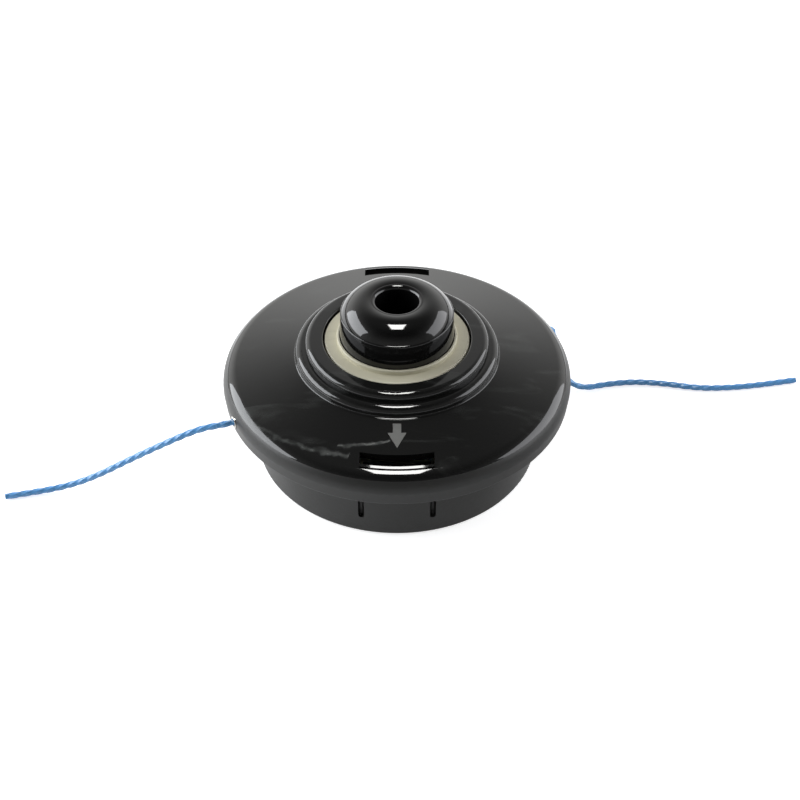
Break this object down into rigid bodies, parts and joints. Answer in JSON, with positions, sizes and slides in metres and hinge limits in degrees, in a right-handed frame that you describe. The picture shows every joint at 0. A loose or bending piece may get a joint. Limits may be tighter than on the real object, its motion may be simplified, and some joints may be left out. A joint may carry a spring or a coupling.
{
  "type": "line trimmer head",
  "caption": "Bump-feed line trimmer head with a black bowl and cover, a natural spool under a bump knob, and twisted blue cutting line.",
  "frame": {"origin": "middle of the flat drive face, on the spin axis", "axes": "+Z along the spin axis from the drive face to the bump knob; -Y towards the window that the arrow points at"},
  "size_m": [0.3063, 0.1294, 0.0655],
  "materials": {
    "bowl_black": "satin moulded nylon, black",
    "cover_black": "polished moulded nylon, black",
    "knob_black": "polished moulded nylon, black",
    "arrow_grey": "grey filled mark",
    "spool_natural": "natural undyed nylon",
    "line_blue": "twisted blue nylon line",
    "steel": "zinc-plated steel",
    "eyelet_metal": "bright rolled metal"
  },
  "bodies": {
    "housing": {"bowl_housing": "bowl_black", "drive_insert": "steel", "ground_cover": "cover_black", "arrow_mark": "arrow_grey", "eyelet_left": "eyelet_metal", "eyelet_right": "eyelet_metal", "spring_cup": "steel", "feed_spring": "steel", "line_tail_left": "line_blue", "line_tail_right": "line_blue"},
    "press_seat": {"spring_washer": "steel"},
    "spool": {"line_spool": "spool_natural", "wound_line_drive_side": "line_blue", "wound_line_ground_side": "line_blue", "thrust_washer": "steel", "bump_knob": "knob_black"}
  },
  "joints": [
    {"name": "knob_press", "type": "slide", "parent": "housing", "child": "press_seat", "axis": [0, 0, -1], "range_m": [0, 0.006], "stiffness_N_per_m": 900, "springref_m": -0.012, "deforming": ["feed_spring"]},
    {"name": "spool_play", "type": "hinge", "parent": "press_seat", "child": "spool", "pos_m": [0, 0, 0.03], "axis": [0, 0, 1], "range_deg": [0, 47]}
  ]
}
